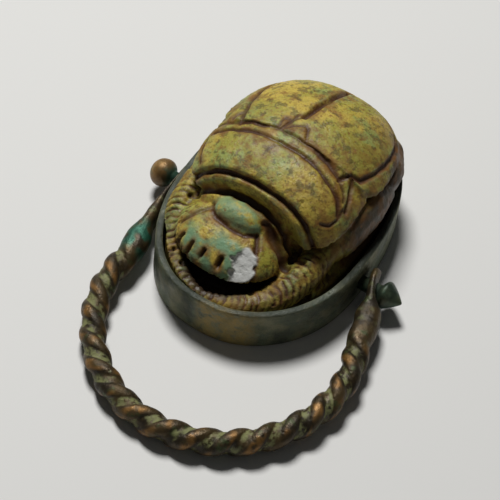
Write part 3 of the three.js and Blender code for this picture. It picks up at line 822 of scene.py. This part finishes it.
# Carved lines: plan points from the pins' axis, width, depth, share of stain.
# They are cut where they fall on the joined stone.
carved = {
    "wingLine": ([(-7.2, 2.2), (-5.6, 2.5), (-4.3, 2.7), (-1.7, 3.0), (-0.5, 3.0), (0.8, 2.9),
                  (2.1, 2.8), (3.4, 2.5), (4.6, 2.15), (5.2, 2.9)], 0.2, 0.2, 1.0),
    "bandLine": ([(-6.8, 1.2), (-5.9, 1.5), (-4.6, 1.65), (-3.4, 1.9), (-0.5, 1.95), (0.9, 1.9),
                  (2.2, 1.75), (3.4, 1.4), (4.6, 1.04), (5.5, 0.6), (6.1, -0.2)], 0.2, 0.2, 1.0),
    "suture": ([(-0.75, 5.3), (-0.55, 6.7), (-0.35, 8.4), (-0.2, 10.1), (-0.1, 11.9)],
               0.25, 0.34, 1.0),
    "rightWingSide": ([(5.3, 3.0), (6.0, 3.3), (6.35, 4.6), (6.5, 6.0), (6.4, 7.8), (6.0, 9.4),
                       (5.2, 10.7)], 0.24, 0.26, 1.0),
    "leftWingSide": ([(-5.3, 3.0), (-5.75, 4.6), (-5.9, 6.0), (-5.9, 7.8), (-5.6, 9.4),
                      (-4.9, 10.7)], 0.22, 0.22, 0.9),
    "rightNotch": ([(4.7, 2.0), (5.25, 3.0), (5.7, 2.3), (6.1, 1.5), (6.4, 0.5)], 0.2, 0.22, 1.0),
    "rightNotchCross": ([(4.75, 2.0), (5.4, 1.6), (5.9, 0.9)], 0.14, 0.12, 0.8),
    "leftNotch": ([(-5.05, 2.4), (-5.5, 4.0), (-6.1, 2.9)], 0.16, 0.16, 0.8),
    "markLeft": ([(-1.9, 3.05), (-2.1, 3.7), (-1.9, 4.4)], 0.12, 0.1, 0.9),
    "markMiddle": ([(-1.7, 3.1), (-1.4, 4.1), (-1.2, 5.4)], 0.13, 0.12, 0.9),
    "markCross": ([(-1.75, 4.2), (-1.2, 4.6), (-0.6, 5.3)], 0.1, 0.08, 0.8),
    "plateLeft": ([(-1.6, 3.15), (-0.9, 3.9), (-0.1, 4.5), (0.25, 4.2)], 0.11, 0.1, 0.8),
    "plateRight": ([(0.25, 4.3), (0.6, 3.5), (0.95, 2.85)], 0.15, 0.13, 0.9),
    "rightThoraxMargin": ([(6.2, 0.4), (6.25, -0.5), (6.0, -1.3), (5.4, -1.75)], 0.15, 0.13, 0.9),
    "leftThoraxMargin": ([(-7.0, 0.6), (-6.8, -0.5), (-6.4, -1.3), (-6.1, -1.8)], 0.12, 0.1, 0.9),
    "rightHeadSeam": ([(1.3, -4.4), (1.9, -5.5), (2.5, -6.6), (2.9, -7.6)], 0.22, 0.28, 1.0),
    "leftHeadSeam": ([(-3.3, -3.9), (-4.1, -4.9), (-5.0, -6.0)], 0.2, 0.18, 0.8),
    "browFront": ([(-3.3, -4.1), (-2.4, -4.9), (-1.0, -5.2), (0.4, -5.15), (1.4, -4.4)],
                  0.2, 0.14, 1.0),
    "tooth1": ([(-4.1, -6.95), (-4.3, -7.3), (-4.5, -7.7)], 0.17, 0.45, 1.0),
    "tooth2": ([(-2.95, -7.35), (-3.05, -7.75), (-3.2, -8.2)], 0.17, 0.45, 1.0),
    "tooth3": ([(-1.75, -7.55), (-1.8, -7.95), (-1.85, -8.4)], 0.18, 0.45, 1.0),
    "tooth4": ([(-0.15, -7.5), (-0.1, -7.95), (-0.05, -8.45)], 0.22, 0.5, 1.0),
    "neckLine": ([(-5.9, -3.25), (-4.6, -2.95), (-3.6, -2.8), (-2.4, -2.62), (-0.9, -2.5),
                  (0.6, -2.6), (1.7, -2.75), (3.0, -3.0), (4.2, -3.3), (5.2, -3.6)], 0.22, 0.35, 1.0),
    "neckRight": ([(1.5, -3.3), (2.3, -3.7), (3.2, -4.0), (4.0, -4.4)], 0.4, 0.45, 1.0),
    "bandStep": ([(-6.1, -2.35), (-4.5, -2.1), (-3.2, -1.95), (-0.7, -1.86), (1.8, -2.0),
                  (3.1, -2.15), (4.4, -2.4), (5.6, -2.7)], 0.2, 0.26, 1.0),
    "thoraxStreak": ([(-1.0, 1.6), (-1.35, 0.9), (-1.5, 0.3)], 0.13, 0.03, 0.7),
}


def distanceTo(points, line):
    best = np.full(len(points), 1e9)
    for start, end in zip(line, line[1:]):
        way = end - start
        share = np.clip(((points - start) @ way) / (way @ way), 0, 1)
        best = np.minimum(best, np.linalg.norm(points - start - share[:, None] * way, axis=1))
    return best


def alongLimb(points, stations, middle):
    stations = np.array(stations, dtype=float)
    results = []
    for mirrored in (False, True):
        line = stations[:, :3].copy()
        if mirrored:
            line[:, 0] = 2 * middle - line[:, 0]
        best = np.full(len(points), 1e9)
        at = np.zeros(len(points))
        walked = 0.0
        for start, end in zip(line, line[1:]):
            way = end - start
            length = np.linalg.norm(way)
            share = np.clip(((points - start) @ way) / (way @ way), 0, 1)
            far = np.linalg.norm(points - start - share[:, None] * way, axis=1)
            nearer = far < best
            best[nearer] = far[nearer]
            at[nearer] = walked + share[nearer] * length
            walked += length
        results.append((best, at))
    return results


hatching = {"pitch": 0.5, "slant": 0.6, "flankPitch": 1.5, "depth": 0.13, "stain": 0.85}
breakage = {
    "place": (1.7, -6.85, 5.55), "facing": (0.22, -0.62, 0.75), "middle": (1.7, -7.0),
    "full": 0.88, "edge": 1.1,
}


# How deep and how dirty each point is made by the carved lines
def cutLines(points, stone):
    shifted = points.copy()
    shifted[:, :2] += np.stack([noiseAt(points, 0.9, 11.0), noiseAt(points, 0.9, 23.0)], axis=1) * 0.12
    sink, stain, rustAndShade = np.zeros((3, len(points)))
    for plan, width, depth, dirt in carved.values():
        line = []
        for across, along in plan:
            hit = stone.ray_cast(Vector((across, along, 20)), Vector((0, 0, -1)))[0]
            line.append(list(hit))
        far = distanceTo(shifted, np.array(line))
        sink = np.maximum(sink, depth * smoothStep(width * 1.5, width * 0.25, far))
        stain = np.maximum(stain, dirt * smoothStep(width * 1.5, width * 0.5, far))
        rustAndShade = np.maximum(rustAndShade, 0.8 * dirt * smoothStep(width + 0.75, width, far))
    return sink, stain, rustAndShade


def outsideHead(points):
    x, y = points[:, 0], points[:, 1]
    return smoothStep(0.35, 0.6, np.hypot((x + 0.9) / 5.4, (y + 4.2) / 4.6))


# Strokes across the forelegs, and wider ones on the flanks
def hatchLegs(points, lump, grain):
    z = points[:, 2]
    low = smoothStep(6.6, 6.0, z)
    uneven = 0.35 + 0.8 * smoothStep(-0.3, 0.3, noiseAt(points, 0.7, 53.0))
    hatch = np.zeros(len(points))
    for far, at in alongLimb(points, beetle["foreleg"], beetle["forelegMiddle"]):
        slant = at + (z - 3.6) * hatching["slant"] + grain * 0.1 + lump * 0.14
        stroke = np.abs((slant / hatching["pitch"]) % 1 - 0.5) * 2
        band = smoothStep(2.4, 1.8, far) * smoothStep(2.6, 4.0, at) * low
        hatch = np.maximum(hatch, band * uneven * smoothStep(0.45, 0.12, stroke))
    for far, at in alongLimb(points, beetle["midleg"], beetle["rearLegMiddle"]):
        stroke = np.abs((at / hatching["flankPitch"]) % 1 - 0.5) * 2
        hatch = np.maximum(hatch, 0.5 * smoothStep(2.6, 2.0, far) * low * smoothStep(0.2, 0.05, stroke))
    return hatch * outsideHead(points)


# The chip on the head's front edge, broken back to white stone
def breakChip(points, grain):
    x, y, z = points.T
    facing = np.array(breakage["facing"])
    facing /= np.linalg.norm(facing)
    across, along = breakage["middle"]
    proud = (points - np.array(breakage["place"])) @ facing + grain * 0.07
    reach = smoothStep(breakage["edge"], breakage["full"],
                       np.hypot((x - across) + grain * 0.5, (y - along) * 0.72))
    broken = reach * (proud > 0) * (z > 3.6) * (y < -5.2)
    chip = reach * smoothStep(-0.12, 0.02, proud) * (z > 4.1) * (y < -5.3)
    return points - facing * (np.maximum(proud, 0) * broken)[:, None], chip


# Stain gathers in hollows, the glaze stays green on edges, and painted shade falls on the leg lobes, the
# forelegs, the right side, under the head and by the wall
def paintBeetle(mesh, uncut, points, hollow, marks):
    x, y, z = uncut.T
    hatch = marks["hatch"]
    patch = noiseAt(points, 1.6, 17.0)
    onEdge = smoothStep(0.015, 0.07, -hollow)
    stain = np.maximum(marks["stain"], smoothStep(0.02, 0.11, hollow) * 0.85)

    headTop = smoothStep(5.4, 4.2, np.hypot(x + 0.9, y + 4.6)) * (y < -2.6)
    frontEdge = headTop * smoothStep(-5.6, -7.0, y - 0.25 * np.abs(x + 3))
    brow = smoothStep(2.9, 2.1, np.hypot(x + 0.95, (y + 3.8) * 1.7)) * (z > 6.7) * (y < -2.7)
    flank = smoothStep(7.9, 7.1, z - 0.1 * np.abs(y - 2)) * smoothStep(4.8, 5.8, np.abs(x))
    flank *= smoothStep(-1.5, 0.8, y)
    turquoise = np.maximum(frontEdge * smoothStep(-0.3, 0.1, patch) * (x < 1.5), brow * 0.8)
    turquoise = np.maximum(turquoise, onEdge * smoothStep(-0.1, 0.3, patch) * 0.4)
    turquoise *= 1 - np.maximum(stain, flank)

    frontLegs = smoothStep(5.4, 4.4, z) * smoothStep(0.5, -1.5, y)
    shade = flank * np.where(x > 0, 0.95, 0.4)
    shade = np.maximum(shade, frontLegs * outsideHead(uncut) * (0.35 + 0.6 * hatch))
    shade = np.maximum(shade, 0.24 * smoothStep(0.5, 5.5, x) * (y > -3.2))

    rustAndShade = np.maximum(marks["rustAndShade"], smoothStep(-0.005, 0.05, hollow) * 0.8)
    rustAndShade = np.maximum(rustAndShade, 0.35 * smoothStep(5.2, 4.4, z) * smoothStep(0.5, -1.5, y))
    # painted shade: the right side, away from the lamp, is made browner
    rustAndShade = np.maximum(rustAndShade, 0.45 * smoothStep(2.0, 6.5, x) * (y > -3.2))
    rustAndShade *= smoothStep(-0.35, 0.25, noiseAt(points, 0.8, 41.0))

    # painted shade under the head and low down in the gap by the wall; the deeper hollows are darker too
    underHead = smoothStep(4.3, 3.5, z) * smoothStep(4.6, 3.6, np.hypot(x + 0.6, (y + 5.6)))
    dark = np.maximum(underHead, smoothStep(0.09, 0.22, hollow) * 0.8)
    dark = np.maximum(dark, smoothStep(3.0, 2.4, z) * (z > 0.1) * 0.9)

    paint(mesh, "stain", stain * (1 - 0.3 * smoothStep(0.1, 0.5, patch)))
    paint(mesh, "turquoise", turquoise)
    paint(mesh, "rustAndShade", rustAndShade)
    paint(mesh, "shade", shade)
    paint(mesh, "dark", dark)
    paint(mesh, "chip", marks["chip"])


def carveBeetle(piece):
    mesh = piece.data
    pairs = edgesOf(mesh)
    uncut = evened(keepInside(pointsOf(mesh)), pairs, 2)
    movePoints(mesh, uncut)
    normals = normalsOf(mesh)
    stone = BVHTree.FromPolygons([Vector(point) for point in uncut],
                                 [tuple(face.vertices) for face in mesh.polygons])
    lump = noiseAt(uncut, 2.6, 2.0)
    grain = noiseAt(uncut, 0.55, 6.0)
    sink, stain, rustAndShade = cutLines(uncut, stone)
    hatch = hatchLegs(uncut, lump, grain)
    sink = np.maximum(sink, hatch * hatching["depth"])
    stain = np.maximum(stain, hatch * hatching["stain"])
    points, chip = breakChip(uncut, grain)
    worn = 0.05 * lump + 0.028 * grain + 0.018 * noiseAt(points, 0.25, 31.0)
    underside = uncut[:, 2] < 0.02
    move = np.where(underside, 0, -sink * (1 - chip) + worn - 0.05)
    points = points + normals * move[:, None]
    points[:, 2] = np.maximum(points[:, 2], 0)
    points = keepInside(points)
    movePoints(mesh, points)
    hollow = np.einsum("ij,ij->i", evened(points, pairs, 14) - points, normalsOf(mesh))
    marks = {"stain": stain, "rustAndShade": rustAndShade, "hatch": hatch, "chip": chip}
    paintBeetle(mesh, uncut, points, hollow, marks)


def makeBeetle():
    bm = joinBeetle()
    bmesh.ops.scale(bm, vec=(mm, mm, mm), verts=bm.verts)
    joined = bpy.data.meshes.new("beetleForms")
    bm.to_mesh(joined)
    bm.free()
    forms = bpy.data.objects.new("beetleForms", joined)
    bpy.context.scene.collection.objects.link(forms)
    remesh = forms.modifiers.new("stone", "REMESH")
    remesh.mode = "VOXEL"
    remesh.voxel_size = beetle["voxel"] * mm
    depsgraph = bpy.context.evaluated_depsgraph_get()
    mesh = bpy.data.meshes.new_from_object(forms.evaluated_get(depsgraph))
    mesh.name = "carvedScarab"
    bpy.data.objects.remove(forms)
    piece = bpy.data.objects.new("carvedScarab", mesh)
    bpy.context.scene.collection.objects.link(piece)
    carveBeetle(piece)
    finishPiece(piece, "bezel", "scarab", greenGlaze)
    print("beetle carved,", len(mesh.polygons), "faces")
    return piece


makeBeetle()

# The table and the light: one broad lamp from behind and above, a pale room
studio = {
    "floorSize": 2.0, "floorColour": colour(226, 225, 221),
    "lampPlace": (-0.14, 0.125, 0.352), "lampSize": 0.12, "lampPower": 1.46,
    "roomLight": 0.045,
}


def makeStudio():
    bm = bmesh.new()
    bmesh.ops.create_grid(bm, x_segments=1, y_segments=1, size=studio["floorSize"])
    mesh = bpy.data.meshes.new("table")
    bm.to_mesh(mesh)
    bm.free()
    table = bpy.data.objects.new("table", mesh)
    bpy.context.scene.collection.objects.link(table)
    material, tree, shader = newMaterial("paleTable")
    shader.inputs["Base Color"].default_value = studio["floorColour"]
    shader.inputs["Roughness"].default_value = 0.6
    table.data.materials.append(material)
    lamp = bpy.data.lights.new("softLamp", "AREA")
    lamp.shape = "DISK"
    lamp.size = studio["lampSize"]
    lamp.energy = studio["lampPower"]
    holder = bpy.data.objects.new("softLamp", lamp)
    bpy.context.scene.collection.objects.link(holder)
    place = Vector(studio["lampPlace"])
    holder.matrix_world = Matrix.Translation(place) @ place.to_track_quat("Z", "Y").to_matrix().to_4x4()
    world = bpy.data.worlds.new("room")
    bpy.context.scene.world = world
    world.use_nodes = True
    world.node_tree.nodes["Background"].inputs["Color"].default_value = (0.95, 0.98, 1, 1)
    world.node_tree.nodes["Background"].inputs["Strength"].default_value = studio["roomLight"]


makeStudio()
bpy.context.scene.view_settings.view_transform = "Standard"
print("studio made")
